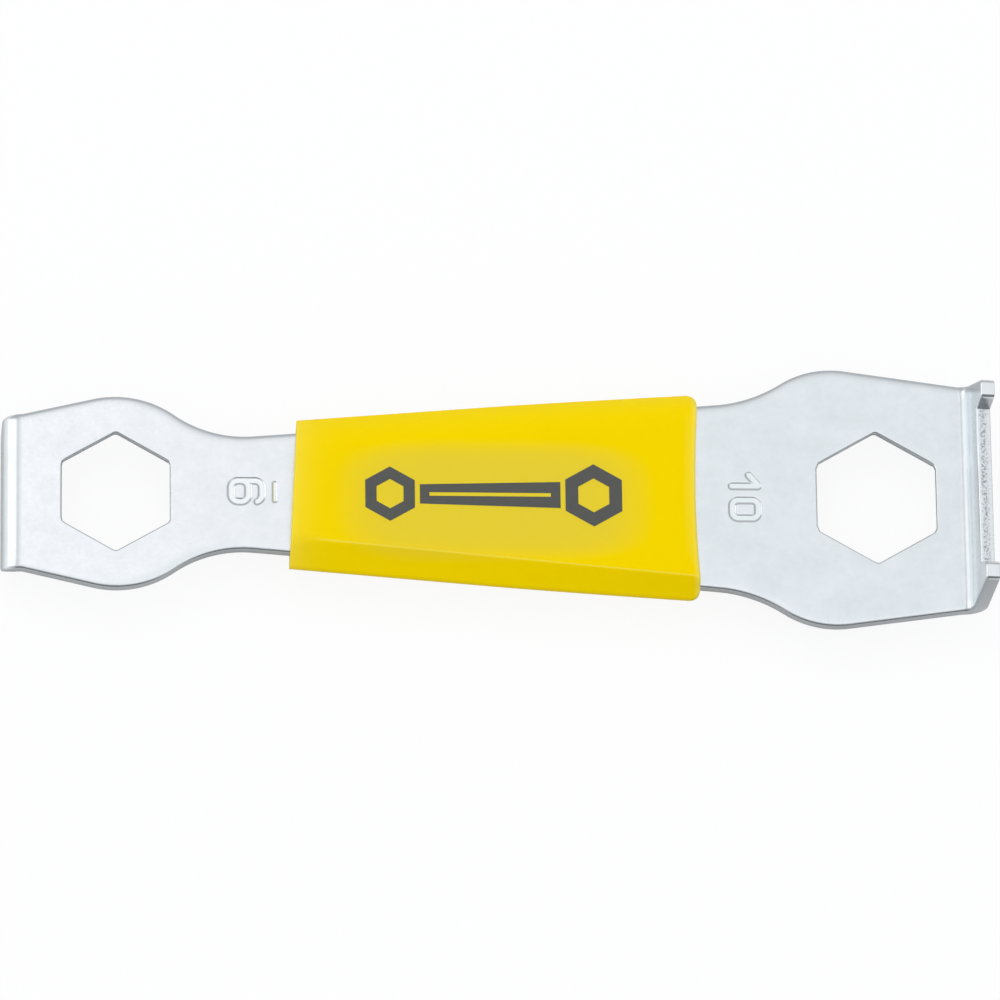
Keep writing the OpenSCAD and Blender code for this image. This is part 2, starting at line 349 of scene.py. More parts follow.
# %% Outline loop
prong_columns = 7
plain_columns = 26
prong_root = 6.75
prong_in = 7.3
ease_length = 1.5
MIRROR = np.array([1, -1])


def prong_inside(u):
    """Half the gap between the prongs at u, with a round corner at the tip."""
    share = (u - wall_u) / (wide_tip - wall_u)
    return prong_root + (prong_in - prong_root) * share + corner_cut(wide_tip - u)


def inner_points(a, b, count):
    """Points evenly spaced from a to b, without the two ends."""
    return a + np.linspace(0, 1, count)[1:-1, None] * (b - a)


def mitred_normals(loop):
    """Left-hand normals of a closed loop, lengthened at corners so that offset edges stay straight."""
    ahead = np.roll(loop, -1, axis=0) - loop
    ahead /= np.linalg.norm(ahead, axis=1, keepdims=True)
    left = np.stack([-ahead[:, 1], ahead[:, 0]], axis=1)
    before = np.roll(left, 1, axis=0)
    return (left + before) / (1 + np.sum(left * before, axis=1, keepdims=True))


upper = np.stack([u_rows, half_width(u_rows)], axis=1)
inside_rows = np.concatenate([[wall_u], prong_rows[1:]])
inside = np.stack([inside_rows, prong_inside(inside_rows)], axis=1)[::-1]
half_loop = np.concatenate([upper, inner_points(upper[-1], inside[0], prong_columns), inside])
wall_columns = plain_columns - 2 * prong_columns + 2
wall_edge = inner_points(inside[-1], inside[-1] * MIRROR, wall_columns)
tip_edge = inner_points(upper[0] * MIRROR, upper[0], plain_columns)
outline = np.concatenate([half_loop, wall_edge, half_loop[::-1] * MIRROR, tip_edge])
past_bend = np.maximum(narrow_bend - outline[:, 0], outline[:, 0] - wide_bend)
tip_share = np.clip(past_bend / ease_length, 0, 1)
roll_normals = mitred_normals(outline) * (1 - (1 - tip_ease) * tip_share)[:, None]
print("outline loop of", len(outline), "points")

# %% [markdown]
# ## Both faces of the blank
# Straight rows from the lower edge to the upper one fill the shank, the bent end and the wall. Round each
# hexagon the grid is a ring instead, whose rows run from the hexagon out to the edges about it. A boolean
# could cut the hexagons out of one plain grid, but it leaves long thin faces that shade badly. Both faces
# use the same layout, the top one drawn in by the rolled edge and the bottom one by the burr.

# %% Hexagons and rings
hex_fit = 0.05
small_size = 9
large_size = 10
hexagons = [(narrow_hex, (small_size + hex_fit) / 2), (wide_hex, (large_size + hex_fit) / 2)]
corner_wear = 0.08


def hexagon(centre, bearing, apothem):
    """Points of a hexagon seen from its centre at each bearing: the apothem over the cosine of the angle
    from the nearest flat, and no further out than its slightly worn corners."""
    from_flat = bearing - np.round(bearing / (math.pi / 3)) * (math.pi / 3)
    corner = apothem / math.cos(math.pi / 6) - corner_wear
    r = np.minimum(apothem / np.cos(from_flat), corner)
    return centre + r[:, None] * np.stack([np.cos(bearing), np.sin(bearing)], axis=1)


def ruled(first, second, share):
    """Rows of points from one edge straight across to another, at the given shares of the way."""
    return first[:, None] + share[None, :, None] * (second - first)[:, None]


print("hexagons", small_size + hex_fit, "and", large_size + hex_fit, "mm across flats")

# %% Layout of a face
prong_share = np.linspace(0, 1, prong_columns)
end_share = np.linspace(0, 1, plain_columns)
fine_reach = 0.33
shank_share = 0.5 + 0.5 * np.concatenate([
    np.linspace(-1, -fine_reach, 9)[:-1],
    np.linspace(-fine_reach, fine_reach, 105),
    np.linspace(fine_reach, 1, 9)[1:],
])


def face_layout(inset):
    """The grids of one face on the flat blank, drawn in from the outline by inset."""
    edge = outline - inset * roll_normals
    half = edge[: len(half_loop)]
    upper = half[: len(u_rows)]
    lower = upper * MIRROR
    tip_start = len(upper) - 1
    prong_tip = half[tip_start : tip_start + prong_columns][::-1]
    inside = half[tip_start + prong_columns - 1 :][::-1]
    wall_top = edge[len(half) - 1 : len(half) + len(wall_edge) + 1][::-1]
    ends = [slice(a, b + 1) for a, b in zip(part_start[:-1], part_start[1:])]

    bent_end = ruled(lower[ends[0]], upper[ends[0]], end_share)
    bent_end[0] = np.concatenate([lower[:1], edge[len(edge) - len(tip_edge) :], upper[:1]])
    shank = ruled(lower[ends[2]], upper[ends[2]], shank_share)
    prong = ruled(inside, upper[ends[5]], prong_share)
    prong[-1] = prong_tip
    wall = ruled(lower[ends[4]], upper[ends[4]], end_share)
    wall[-1] = np.concatenate([prong[0][::-1] * MIRROR, wall_top[1:-1], prong[0]])

    def around(part, left, right):
        """Closed loop of points round one hexagon's part of the blank."""
        below, above = lower[ends[part]], upper[ends[part]]
        return np.concatenate([below[:-1], right[:-1], above[:0:-1], left[:0:-1]])

    plain = [bent_end, shank, wall, prong, prong[:, ::-1] * MIRROR]
    return plain, [around(1, bent_end[-1], shank[0]), around(3, shank[-1], wall[0])]


_, exact_rings = face_layout(0)
bearings = [np.arctan2(*(ring - centre).T[::-1]) for ring, (centre, _) in zip(exact_rings, hexagons)]
print("points round each hexagon:", [len(bearing) for bearing in bearings])

# %% [markdown]
# ## The stamped sizes
# A punch pressed the 9 and the 10 into the flat. Each stroke is a groove of even width, so it is described
# by the distance from the stroke's middle line: the sheet is sunk where that distance is under half a
# stroke. The numbers could be cut with a boolean, but a smooth depth keeps the soft shoulders of a punch.

# %% Strokes of the numbers
nine_size = (1.84, 2.58)
nine_bowl = 1.44
nine_corner_r = 0.6
hook_b = -0.92
bar_span = (-0.79, 0.69)
bar_b = -2.36
bar_thinner = 0.1
stem_a = 0.25
stem_half = 1.09
flag_top = (0.1, 1.08)
flag_foot = (-0.72, 0.36)
zero_size = (1.58, 2.18)
zero_corner_r = 0.5


def to_loop(a, b, width, height, corner_r):
    """Distance from the middle line of a round-cornered loop about the origin: how far a point lies past
    the box of the corner centres, or how deep inside it, less the corner radius."""
    over_a = np.abs(a) - width / 2 + corner_r
    over_b = np.abs(b) - height / 2 + corner_r
    outside = np.hypot(np.maximum(over_a, 0), np.maximum(over_b, 0))
    return np.abs(outside + np.minimum(np.maximum(over_a, over_b), 0) - corner_r)


def to_line(a, b, start, end):
    """Distance from a straight stroke: from the point of it that lies nearest."""
    run = np.subtract(end, start)
    share = np.clip(((a - start[0]) * run[0] + (b - start[1]) * run[1]) / (run @ run), 0, 1)
    return np.hypot(a - start[0] - share * run[0], b - start[1] - share * run[1])


def to_nine(a, b):
    """A closed bowl, the right side and foot of a taller loop, and the round end of its hook."""
    width, height = nine_size
    bowl = to_loop(a, b - (height - nine_bowl) / 2, width, nine_bowl, nine_corner_r)
    loop = to_loop(a, b, width, height, nine_corner_r)
    loop = np.where((a > 0) | (b < hook_b), loop, np.hypot(a + width / 2, b - hook_b))
    return np.minimum(bowl, loop)


def to_bar(a, b):
    """The bar that tells the 9 from a 6, a little thinner than the other strokes."""
    return to_line(a, b, (bar_span[0], bar_b), (bar_span[1], bar_b)) + bar_thinner


def to_one(a, b):
    """A stem with a short flag."""
    stem = to_line(a, b, (stem_a, -stem_half), (stem_a, stem_half))
    return np.minimum(stem, to_line(a, b, flag_top, flag_foot))


def to_zero(a, b):
    """One tall loop."""
    return to_loop(a, b, *zero_size, zero_corner_r)


print("the middle of the 0 lies", round(float(to_zero(0, 0)), 2), "mm from its stroke")

# %% Depth of the stamping
stroke = 0.55
stamp_depth = 0.09
shoulder_soft = 0.13
nine_x, nine_y = -21.06, 0.09
ten_x, one_y, zero_y = 20.86, 1.15, -1.14


def stamping(blank):
    """Depth of the stamped numbers at each point: full under a stroke, with soft shoulders.
    The numbers stand across the blade, the 9 turned one way and the 10 the other."""
    u, y = blank[..., 0], blank[..., 1]
    nine = (y - nine_y, nine_x - u)
    one = (one_y - y, u - ten_x)
    zero = (zero_y - y, u - ten_x)
    away = np.min([to_nine(*nine), to_bar(*nine), to_one(*one), to_zero(*zero)], axis=0)
    share = np.clip((stroke / 2 + shoulder_soft - away) / (2 * shoulder_soft), 0, 1)
    return stamp_depth * share**2 * (3 - 2 * share)


print("numbers stamped", stamp_depth, "mm deep in strokes", stroke, "mm wide")

# %% [markdown]
# ## The sheared edge
# Punching leaves the same edge all round: the top is rolled over, then comes a bright burnished band, then
# the rougher, drawn-in band where the sheet broke, and last a small burr. A Bevel modifier would round
# every edge alike, so this profile is carried round the outline and both hexagons instead. The hexagons
# have a much narrower roll, and they break earlier and draw in further.

# %% Profile of the sheared edge
roll_deep = 0.24
roll_power = 2.2
burr_r = 0.05
# The roll is a quarter of a superellipse, from powers of the sine and cosine, and the burr one of a circle.
roll = np.linspace(0, math.pi / 2, 13)
burr = np.linspace(0, math.pi / 2, 4)
wall_depth = np.linspace(roll_deep, sheet_t - burr_r, 9)[1:-1]
roll_depth = roll_deep * (1 - np.cos(roll) ** (2 / roll_power))
burr_depth = sheet_t - burr_r * (1 - np.sin(burr))
edge_depth = np.concatenate([roll_depth, wall_depth, burr_depth])
past_roll = np.zeros(len(wall_depth) + len(burr))
before_burr = np.zeros(len(roll) + len(wall_depth))
roll_out = np.concatenate([np.sin(roll) ** (2 / roll_power) - 1, past_roll])
burr_out = np.concatenate([before_burr, burr_r * (np.cos(burr) - 1)])


def edge_steps(roll_width, break_start, draw):
    """How far out each row of the edge lies: a roll of the given width, then a straight band, then from
    the share break_start of the thickness a break that is drawn in by draw at the bottom."""
    broken = np.clip((edge_depth / sheet_t - break_start) / (1 - break_start), 0, 1)
    return roll_width * roll_out + burr_out - draw * broken


def sheared_edge(loop_at, steps):
    """Rows of an edge: the loop at each step out, folded at that step's depth."""
    return np.stack([fold(loop_at(out), depth) for out, depth in zip(steps, edge_depth)])


edge_break = 0.58
edge_draw = 0.02
hole_roll = 0.15
hole_break = 0.3
hole_draw = 0.18
edge_out = edge_steps(roll_wide, edge_break, edge_draw)
hole_out = edge_steps(hole_roll, hole_break, hole_draw)
print("edge profile of", len(edge_depth), "rows")

# %% Faces and edges of the blade
ring_steps = np.array([0, 0.04, 0.15, 0.35, 0.6, 0.85, 0.96, 1])


def blade_face(row):
    """One whole face on the flat blank, as plain grids and two rings that meet a row of the edge."""
    plain, rings = face_layout(-edge_out[row])
    grids = [(grid, False) for grid in plain]
    for ring, bearing, (centre, apothem) in zip(rings, bearings, hexagons):
        hole = hexagon(centre, bearing, apothem - hole_out[row])
        grids.append((hole + ring_steps[:, None, None] * (ring - hole), True))
    return grids


def hexagon_edge(bearing, centre, apothem):
    """The sheared edge inside one hexagon."""
    return sheared_edge(lambda out: hexagon(centre, bearing, apothem - out), hole_out)


top_face, bottom_face = blade_face(0), blade_face(-1)
faces = [(fold(grid, stamping(grid)), close) for grid, close in top_face]
faces += [(fold(grid, sheet_t), close) for grid, close in bottom_face]
edges = [(sheared_edge(lambda out: outline + out * roll_normals, edge_out), True)]
edges += [(hexagon_edge(bearing, *hole), True) for bearing, hole in zip(bearings, hexagons)]
print("blade of", len(faces), "grids on its faces and", len(edges), "round its edges")

# %% [markdown]
# ## Marks of the press
# The finish will differ from place to place, so each point keeps four values: how sheared it is, how
# pitted, how far the punch pressed it and how hard the wide bend squeezed it. Only the top of the low wall
# between the prongs is pitted, because it was left as it broke. A painted image could say the same, but
# values on points need no unwrapping and follow the shape when a size changes.

# %% Build the blade
bright_from = 0.85
pit_depths = [0.15, 0.28, 0.55, 0.8]
pit_amounts = [0, 1, 1, 0.15]
blade_sharp = 38


def point_count(grids):
    """How many points some grids hold."""
    return sum(grid.shape[0] * grid.shape[1] for grid, _ in grids)


def on_edges(values):
    """A mark of the edges' points in the order of the grids, with nothing on the faces."""
    return np.concatenate([values, np.zeros(point_count(faces))])


def on_top(mark):
    """A mark of the top face's points, worked out on the flat blank, with nothing elsewhere."""
    values = np.concatenate([mark(grid).reshape(-1) for grid, _ in top_face])
    return np.concatenate([np.zeros(point_count(edges)), values, np.zeros(point_count(bottom_face))])


def press(blank):
    """Share of the full depth that the punch pressed each point."""
    return stamping(blank) / stamp_depth


def squeeze(blank):
    """How hard a point was squeezed inside the wide bend: nothing at both ends of the arc, most halfway."""
    turn, _ = turn_and_run(blank[..., 0] - wide_bend, wide_turn, wide_r)
    share = turn / wide_turn
    return 4 * share * (1 - share)


sheared = np.clip((edge_depth / roll_deep - bright_from) / (1 - bright_from), 0, 1)
pits = np.interp(edge_depth / sheet_t, pit_depths, pit_amounts)
low_wall = np.zeros(len(outline))
low_wall[len(half_loop) - 1 : len(half_loop) + len(wall_edge) + 1] = 1
no_pits = np.zeros(point_count(edges[1:]))
blade_marks = {
    "sheared": on_edges(np.concatenate([np.repeat(sheared, grid.shape[1]) for grid, _ in edges])),
    "pitted": on_edges(np.concatenate([np.outer(pits, low_wall).reshape(-1), no_pits])),
    "pressed": on_top(press),
    "squeezed": on_top(squeeze),
}
blade = skin("plated_blade", edges + faces, blade_sharp, marks=blade_marks)
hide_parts("steel_blade")
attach(blade, "root")

# %% [markdown]
# ## The grip sleeve
# The sleeve is a tube of soft vinyl with a flat top, sloping sides and a narrow band along its widest line.
# It leans with the shank. One end was cut straight off, a little askew, and the other has a round rim and a
# shallow hollow. A bevelled box with a Subdivision Surface would come near, but its creases would all be
# alike. So the skin is one closed tube wall: a section of eight rounded corners, carried along the outside,
# round the rim, back through the bore and out over the cut end.

# %% Section of the sleeve
band_soft = 0.22
band_limit = 0.9
curve_steps = np.linspace(0, 1, 9)
straight_steps = np.linspace(0, 1, 8)[1:-1]


def section(width, band, crease, height, near_soft, far_soft):
    """Loops round the sleeve, one for each station. Every corner is a parabola that starts and ends a short
    way along the two straight sides that meet there."""
    corner_y = np.stack([width, width, crease, -crease, -width, -width, -crease, crease], axis=1)
    corner_z = np.stack([-band, band, height, height, band, -band, -height, -height], axis=1)
    corner = np.stack([corner_y, corner_z], axis=-1)
    soft_band = np.minimum(band_soft, band_limit * band)
    soft = np.stack([soft_band, soft_band, far_soft, near_soft] * 2, axis=1)
    ahead = np.roll(corner, -1, axis=1) - corner
    ahead = ahead / np.linalg.norm(ahead, axis=-1, keepdims=True)
    leave = corner + soft[..., None] * ahead
    enter = corner - soft[..., None] * np.roll(ahead, 1, axis=1)
    t = curve_steps[:, None]
    curve = (1 - t) ** 2 * enter[:, :, None] + 2 * t * (1 - t) * corner[:, :, None]
    curve = curve + t**2 * leave[:, :, None]
    to_next = np.roll(enter, -1, axis=1) - leave
    straight = leave[:, :, None] + straight_steps[:, None] * to_next[:, :, None]
    return np.concatenate([curve, straight], axis=2).reshape(len(width), -1, 2)


print("each corner has", len(curve_steps), "points, each side between them", len(straight_steps), "more")

# %% Loops along the sleeve
sleeve_start = -17.15
sleeve_end = sleeve_high[0]
sleeve_mid_z = (sleeve_low[2] + sleeve_high[2]) / 2
sleeve_half_t = (sleeve_high[2] - sleeve_low[2]) / 2
sleeve_wall = 1.245
sleeve_band = 0.3
sleeve_ease = 0.22
ease_power = 1.5
crease_half = 5.92
crease_slope = 0.0919
crease_fine = 0.2
crease_loose = 1.0
loose_length = 1.6
far_crease = 1.8
grip_fit = 0.02
bore_chamfer = 0.04
chamfer_soft = 0.004
fine_share = 0.2
along = np.concatenate([np.linspace(0, fine_share, 16)[:-1], np.linspace(fine_share, 1, 40)])
along_x = sleeve_start + along * (sleeve_end - sleeve_start)


def outside_loops(x):
    """The sleeve's outside at each x: a wall outside the shank's edge, eased in by a power of x past the
    middle. Its near crease is looser by the cut end and tightens exponentially."""
    width = shank_half + sleeve_wall + x * math.tan(shank_lean)
    width = width - sleeve_ease * (np.maximum(x, 0) / sleeve_end) ** ease_power
    near_crease = crease_fine + crease_loose * np.exp(-(x - sleeve_start) / loose_length)
    same = np.ones_like(x)
    crease = crease_half + crease_slope * x
    return section(width, sleeve_band * same, crease, sleeve_half_t * same, near_crease, far_crease * same)


def bore_loops(x):
    """The bore at each x: the shank's own section, a fit larger, with nearly square corners."""
    width = shank_half + grip_fit + x * math.tan(shank_lean)
    height = (sheet_t / 2 + grip_fit) * np.ones_like(x)
    soft = chamfer_soft * np.ones_like(x)
    return section(width, height - bore_chamfer, width - bore_chamfer, height, soft, soft)


outside = outside_loops(along_x)
bore = bore_loops(along_x)
print("sleeve", round(2 * sleeve_half_t, 2), "mm thick, loops of", outside.shape[1], "points")

# %% Ends of the sleeve
cut_slant = math.tan(math.radians(3))
end_hollow = 0.35
hollow_half = 8.3
rim_top_r = 0.45
rim_side_r = 0.9
side_power = 6
end_steps = np.array([0.35, 0.7])[:, None, None]
cut_steps = np.array([0.3, 0.6, 0.93])[:, None, None]


def start_x(y):
    """The cut end: straight, and a little askew."""
    return sleeve_start + cut_slant * y


def end_x(y):
    """The moulded end: hollow between its corners by a parabola."""
    return sleeve_end - end_hollow * np.clip(1 - (y / hollow_half) ** 2, 0, 1)


last_outside, last_bore = outside[-1], bore[-1]
to_bore = last_bore - last_outside
wall_here = np.linalg.norm(to_bore, axis=1, keepdims=True)
side_share = (np.abs(last_outside[:, 0]) / last_outside[:, 0].max()) ** side_power
rim_r = rim_top_r + (rim_side_r - rim_top_r) * side_share
rim_turn = np.linspace(0, math.pi / 2, 9)[1:, None]
rim = last_outside + (rim_r * (1 - np.cos(rim_turn)))[..., None] * (to_bore / wall_here)
end_face = rim[-1] + end_steps * (last_bore - rim[-1])
cut_face = bore[0] + cut_steps * (outside[0] - bore[0])

outside_start = start_x(outside[..., 0])
outside_x = outside_start + along[:, None] * (end_x(outside[..., 0]) - rim_r - outside_start)
rim_x = end_x(rim[..., 0]) - rim_r * (1 - np.sin(rim_turn))
bore_x = start_x(bore[..., 0]) + along[:, None] * (end_x(bore[..., 0]) - start_x(bore[..., 0]))
end_face_x = end_x(end_face[..., 0])
cut_face_x = start_x(cut_face[..., 0])
loops = np.concatenate([outside, rim, end_face, bore[::-1], cut_face])
loops_x = np.concatenate([outside_x, rim_x, end_face_x, bore_x[::-1], cut_face_x])
print("sleeve of", len(loops), "loops, from", round(loops_x.min(), 2), "to", round(loops_x.max(), 2), "mm")

# %% [markdown]
# ### Painted highlights
# The vinyl is painted paler where light would shine through it or catch it: a glow by the cut end, a
# highlight at the rim and a thin highlight along the near crease. Painting that on as an image would need a
# map of the skin, so each point keeps how much painted highlight it has, as the blade's points keep the
# marks of the press.

# %% Build the sleeve
cut_end_painted_glow = 0.5
cut_fade = 0.9
rim_painted_highlight = 0.9
rim_full = 1.4
rim_fade = 0.4
crease_painted_highlight = 0.8
crease_points = 2
crease_from = 1.5
crease_grow = 2
sleeve_sharp = 50
from_start = loops_x - start_x(loops[..., 0])
from_end = end_x(loops[..., 0]) - loops_x
near_corner = 3  # the section's corner that is the top crease on the viewer's side
crease_at = near_corner * (len(curve_steps) + len(straight_steps)) + len(curve_steps) // 2
crease_line = np.clip(1 - np.abs(np.arange(loops.shape[1]) - crease_at) / crease_points, 0, 1)
# Painted light: a glow by the cut end, a highlight at the rim and a thin highlight along the near crease.
painted_highlight = cut_end_painted_glow * np.exp(-from_start / cut_fade)
painted_highlight += rim_painted_highlight * np.clip(rim_full - from_end / rim_fade, 0, 1)
painted_highlight += crease_painted_highlight * crease_line * np.clip((from_start - crease_from) / crease_grow, 0, 1)
sleeve_points = np.stack([loops_x, loops[..., 0], loops[..., 1] + sleeve_mid_z], axis=-1)
sleeve_marks = {"painted_highlight": painted_highlight.reshape(-1)}
sleeve = skin("vinyl_sleeve", [(sleeve_points, True)], sleeve_sharp, close_rows=True, marks=sleeve_marks)
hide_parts("grip_sleeve")
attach(sleeve, "root")

# %% [markdown]
# ## The mark on the grip
# The top of the grip carries a dark printed mark, a plain sign for the tool itself: a small hexagon, a
# tapered bar and a large hexagon. An image could be laid on the vinyl, but a sign this plain is sharper as
# a shape. Ink is a film, so each shape is a very thin plate that is pressed a little into the vinyl, and a
# ring of it is a grid that closes both ways.

# %% Printed mark
ink_sunk = 0.02
ink_proud = 0.012
ink_z = (sleeve_high[2] - ink_sunk, sleeve_high[2] + ink_proud)
ink_sharp = 30
mark_y = -0.5
corner_turns = np.radians(np.arange(30, 390, 60))
hexagon_corners = np.stack([np.cos(corner_turns), np.sin(corner_turns)], axis=1)
bar_corners = np.array([[-1, -1], [1, -1], [1, 1], [-1, 1]])


def ink_ring(outer, inner):
    """A flat ring between two loops of corners: both loops at two heights, joined round."""
    low, high = ink_z
    steps = [(outer, low), (outer, high), (inner, high), (inner, low)]
    return np.stack([np.column_stack([loop, np.full(len(loop), z)]) for loop, z in steps])


def ink_hexagon(x, outer_r, inner_r):
    """A hexagon ring about x."""
    centre = np.array([x, mark_y])
    return ink_ring(centre + outer_r * hexagon_corners, centre + inner_r * hexagon_corners)


def ink_bar(start, end, start_half, end_half, slit_in, slit_half):
    """A tapered bar with a slit along its middle."""
    centre = np.array([(start + end) / 2, mark_y])
    half = np.where(bar_corners[:, :1] < 0, start_half, end_half)
    reach = (end - start) / 2
    outer = centre + bar_corners * np.hstack([np.full_like(half, reach), half])
    return ink_ring(outer, centre + bar_corners * np.array([reach - slit_in, slit_half]))


shapes = [
    ink_hexagon(x=-9.1, outer_r=2.4, inner_r=1.3),
    ink_bar(start=-6.6, end=5.2, start_half=0.85, end_half=1.15, slit_in=0.8, slit_half=0.16),
    ink_hexagon(x=8.0, outer_r=2.75, inner_r=1.5),
]
mark = skin("printed_mark", [(shape, True) for shape in shapes], ink_sharp, close_rows=True)
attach(mark, "root")

# %% [markdown]
# ## Finishes
# Colours are written as they look on a screen, so one function turns them into the linear values that the
# renderer needs. A second function adds one node, gives it its settings and links its inputs. Nodes could
# be placed by hand in the editor, but written out they can be read and changed like any other value.

# %% Colours and nodes
COLOUR_A, COLOUR_B, COLOUR_OUT = 6, 7, 2  # the sockets of a Mix node that carry colours


def linear(code):
    """Linear colour of a screen colour such as F6D702: straight at the dark end, then a power curve."""
    channel = np.array([int(code[i : i + 2], 16) for i in (0, 2, 4)]) / 255
    straight = channel / 12.92
    curved = ((channel + 0.055) / 1.055) ** 2.4
    return (*np.where(channel <= 0.04045, straight, curved).tolist(), 1.0)


def add(tree, kind, links=None, inputs=None, **settings):
    """Adds a node of one kind to a tree; links and inputs are keyed by socket."""
    node = tree.nodes.new(kind)
    for name, value in settings.items():
        setattr(node, name, value)
    for socket, value in (inputs or {}).items():
        node.inputs[socket].default_value = value
    for socket, source in (links or {}).items():
        tree.links.new(source, node.inputs[socket])
    return node


def finish(name, piece):
    """A new material on a piece: its node tree and its shader."""
    material = bpy.data.materials.new(name)
    material.use_nodes = True
    piece.data.materials.clear()
    piece.data.materials.append(material)
    tree = material.node_tree
    return tree, tree.nodes["Principled BSDF"]


print("a screen grey of 808080 is", round(linear("808080")[0], 3), "in linear light")

# %% [markdown]
# ### Plated steel
# The blade is cold-rolled steel with a bright nickel plating over a satin surface. One even roughness all
# over would look like foil, so the sheet's own grain shows through the plating as a faint unevenness, and
# slow clouds make the reflections slightly mottled. The punch polished the numbers, the shears burnished
# the edge, the wide bend is duller inside, and the broken top of the wall has dark pits.

# %% Patterns of the steel
steel_tree, steel = finish("satin_nickel_plate", blade)
steel_place = add(steel_tree, "ShaderNodeTexCoord").outputs["Object"]
# Rolled sheet has grain a few hundredths of a millimetre wide, and a torn edge has pits as small. Both are
# too fine to show in the render, so they are drawn as coarse as they need to show.
steel_patterns = {
    "grain": {"Scale": 1 / (0.3 * MM), "Detail": 2.0, "Roughness": 0.5},
    "cloud": {"Scale": 1 / (2.5 * MM), "Detail": 4.0, "Roughness": 0.7},
    "torn": {"Scale": 1 / (0.22 * MM), "Detail": 4.0, "Roughness": 0.7},
}
noise = {
    name: add(steel_tree, "ShaderNodeTexNoise", {"Vector": steel_place}, values).outputs["Fac"]
    for name, values in steel_patterns.items()
}
mark_at = {
    name: add(steel_tree, "ShaderNodeAttribute", attribute_name=name).outputs["Fac"] for name in blade_marks
}
pit_share = add(steel_tree, "ShaderNodeMapRange", {"Value": noise["torn"], "To Min": mark_at["pitted"]},
                {"From Min": 0.4, "From Max": 0.52, "To Max": 0.0}).outputs[0]
print("patterns of the steel:", sorted(noise), "marks:", sorted(mark_at))

# %% Plated steel
steel_colour = add(steel_tree, "ShaderNodeMix", {"Factor": noise["cloud"]},
                   {COLOUR_A: linear("D8DEE0"), COLOUR_B: linear("EEF2F4")},
                   data_type="RGBA").outputs[COLOUR_OUT]
for share, code in ((mark_at["pressed"], "EAEFEF"), (mark_at["sheared"], "E8ECEE"), (pit_share, "A0A6AA")):
    steel_colour = add(steel_tree, "ShaderNodeMix", {"Factor": share, COLOUR_A: steel_colour},
                       {COLOUR_B: linear(code)}, data_type="RGBA").outputs[COLOUR_OUT]
steel_rough = add(steel_tree, "ShaderNodeMapRange", {"Value": noise["grain"]},
                  {"From Min": 0.3, "From Max": 0.7, "To Min": 0.21, "To Max": 0.27}).outputs[0]
for place, roughness in (("squeezed", 0.37), ("pitted", 0.38)):
    steel_rough = add(steel_tree, "ShaderNodeMix", {"Factor": mark_at[place], "A": steel_rough},
                      {"B": roughness}).outputs[0]
grain_bump = add(steel_tree, "ShaderNodeBump", {"Height": noise["grain"]},
                 {"Strength": 0.012, "Distance": 0.02 * MM}).outputs[0]
torn_bump = add(steel_tree, "ShaderNodeBump",
                {"Height": noise["torn"], "Strength": mark_at["pitted"], "Normal": grain_bump},
                {"Distance": 0.025 * MM}).outputs[0]
steel.inputs["Metallic"].default_value = 1.0
steel_tree.links.new(steel_colour, steel.inputs["Base Color"])
steel_tree.links.new(steel_rough, steel.inputs["Roughness"])
steel_tree.links.new(torn_bump, steel.inputs["Normal"])
print("plated steel:", len(steel_tree.nodes), "nodes")

# %% [markdown]
# ### Yellow vinyl
# The grip is plasticised PVC, dipped or moulded, with a soft satin skin. Light goes a little way in, and
# the glow at its thin rims is a painted highlight in its colour. On the top, about the mark, a paler and
# greyer yellow is painted in: the light that the steel under the thin vinyl sends back, and the ink's soft
# shade. This painted patch is a soft cushion shape: the fourth powers of the distances along the three
# axes, added up.

# %% Painted shade about the mark
vinyl_tree, vinyl = finish("yellow_soft_vinyl", sleeve)
vinyl_place = add(vinyl_tree, "ShaderNodeTexCoord").outputs["Object"]
shade_patch_half = np.array([13, 5.2, 3])
shade_patch_middle = np.array([-0.4, -1.0, sleeve_high[2]])
shade_patch_edge = 1.3
shade_patch_most = 0.8
shade_patch_place = add(vinyl_tree, "ShaderNodeMapping", {"Vector": vinyl_place},
                 {"Location": -shade_patch_middle / shade_patch_half, "Scale": 1 / (shade_patch_half * MM)}).outputs[0]
shade_patch_square = add(vinyl_tree, "ShaderNodeVectorMath", {0: shade_patch_place, 1: shade_patch_place},
                  operation="MULTIPLY").outputs[0]
shade_patch_away = add(vinyl_tree, "ShaderNodeVectorMath", {0: shade_patch_square, 1: shade_patch_square},
                operation="DOT_PRODUCT").outputs["Value"]
# Painted light and shade: a paler, greyer yellow about the mark, for the light the steel sends back through
# the thin vinyl and the ink's soft shade.
painted_shade_patch = add(vinyl_tree, "ShaderNodeMapRange", {"Value": shade_patch_away},
           {"From Min": shade_patch_edge, "From Max": 0.0, "To Min": 0.0, "To Max": shade_patch_most},
           interpolation_type="SMOOTHSTEP").outputs[0]
print("haze reaches", shade_patch_half[:2], "mm from its middle")

# %% Yellow vinyl
mottle_size = 3
skin_size = 0.5  # the skin's own grain is finer, and is drawn as coarse as it needs to show
mottle = add(vinyl_tree, "ShaderNodeTexNoise", {"Vector": vinyl_place},
             {"Scale": 1 / (mottle_size * MM), "Detail": 2.0}).outputs["Fac"]
vinyl_colour = add(vinyl_tree, "ShaderNodeMix", {"Factor": mottle},
                   {COLOUR_A: linear("F7D600"), COLOUR_B: linear("FBDA00")},
                   data_type="RGBA").outputs[COLOUR_OUT]
painted_highlight_at = add(vinyl_tree, "ShaderNodeAttribute", attribute_name="painted_highlight").outputs["Fac"]
